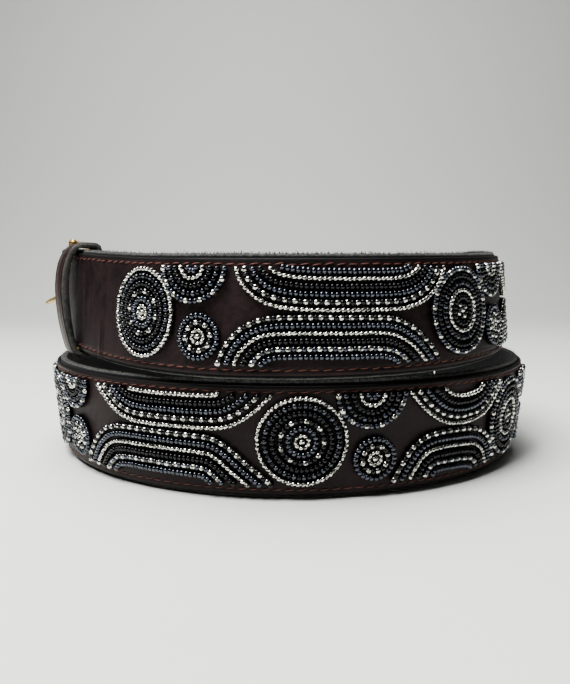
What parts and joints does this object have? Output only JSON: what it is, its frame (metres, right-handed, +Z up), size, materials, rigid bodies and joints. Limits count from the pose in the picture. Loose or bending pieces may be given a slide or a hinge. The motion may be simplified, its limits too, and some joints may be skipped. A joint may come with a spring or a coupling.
{
  "type": "beaded belt",
  "caption": "Leather belt covered in seed-bead circles and arches, coiled on edge in two turns, with a keeper loop and a brass buckle.",
  "frame": {"origin": "middle of the bottom of the whole coiled belt, on the surface it stands on", "axes": "+Z up across the belt's width, -Y towards the front of the coil, buckle at -X"},
  "size_m": [0.193, 0.1816, 0.0784],
  "materials": {
    "suede_backing": "dark suede with raw cut edges",
    "smooth_leather": "smooth, slightly waxed",
    "keeper_leather": "smooth, slightly waxed",
    "brass": "aged, satin",
    "black_beads": "opaque black and lined crystal seed beads",
    "grey_beads": "opaque gunmetal and lined crystal seed beads"
  },
  "bodies": {
    "belt": {"strap_backing": "suede_backing", "strap_facing": "smooth_leather", "keeper_loop": "keeper_leather", "medallion_1": "black_beads", "half_medallion_1": "black_beads", "small_medallion_1": "grey_beads", "top_arch_1": "black_beads", "bottom_arch_1": "grey_beads", "medallion_2": "black_beads", "half_medallion_2": "black_beads", "small_medallion_2": "grey_beads", "top_arch_2": "black_beads", "bottom_arch_2": "grey_beads", "medallion_3": "black_beads", "half_medallion_3": "black_beads", "small_medallion_3": "grey_beads", "top_arch_3": "black_beads", "bottom_arch_3": "grey_beads", "medallion_4": "black_beads", "half_medallion_4": "black_beads", "small_medallion_4": "grey_beads", "top_arch_4": "black_beads", "bottom_arch_4": "grey_beads", "medallion_5": "black_beads", "half_medallion_5": "black_beads", "small_medallion_5": "grey_beads", "top_arch_5": "black_beads", "bottom_arch_5": "grey_beads", "medallion_6": "black_beads", "half_medallion_6": "black_beads", "small_medallion_6": "grey_beads", "top_arch_6": "black_beads", "bottom_arch_6": "grey_beads", "medallion_7": "black_beads", "half_medallion_7": "black_beads", "small_medallion_7": "grey_beads", "top_arch_7": "black_beads", "bottom_arch_7": "grey_beads", "medallion_8": "black_beads", "half_medallion_8": "black_beads", "small_medallion_8": "grey_beads"},
    "buckle_frame": {"buckle_frame": "brass"},
    "tongue": {"buckle_tongue": "brass"}
  },
  "joints": [
    {"name": "frame_swing", "type": "hinge", "parent": "belt", "child": "buckle_frame", "pos_m": [-0.07673, -0.01043, 0.0569], "axis": [0, 0, 1], "range_deg": [-45, 35]},
    {"name": "tongue_swing", "type": "hinge", "parent": "buckle_frame", "child": "tongue", "pos_m": [-0.07673, -0.01043, 0.056], "axis": [0, 0, 1], "range_deg": [-29, 52]}
  ]
}
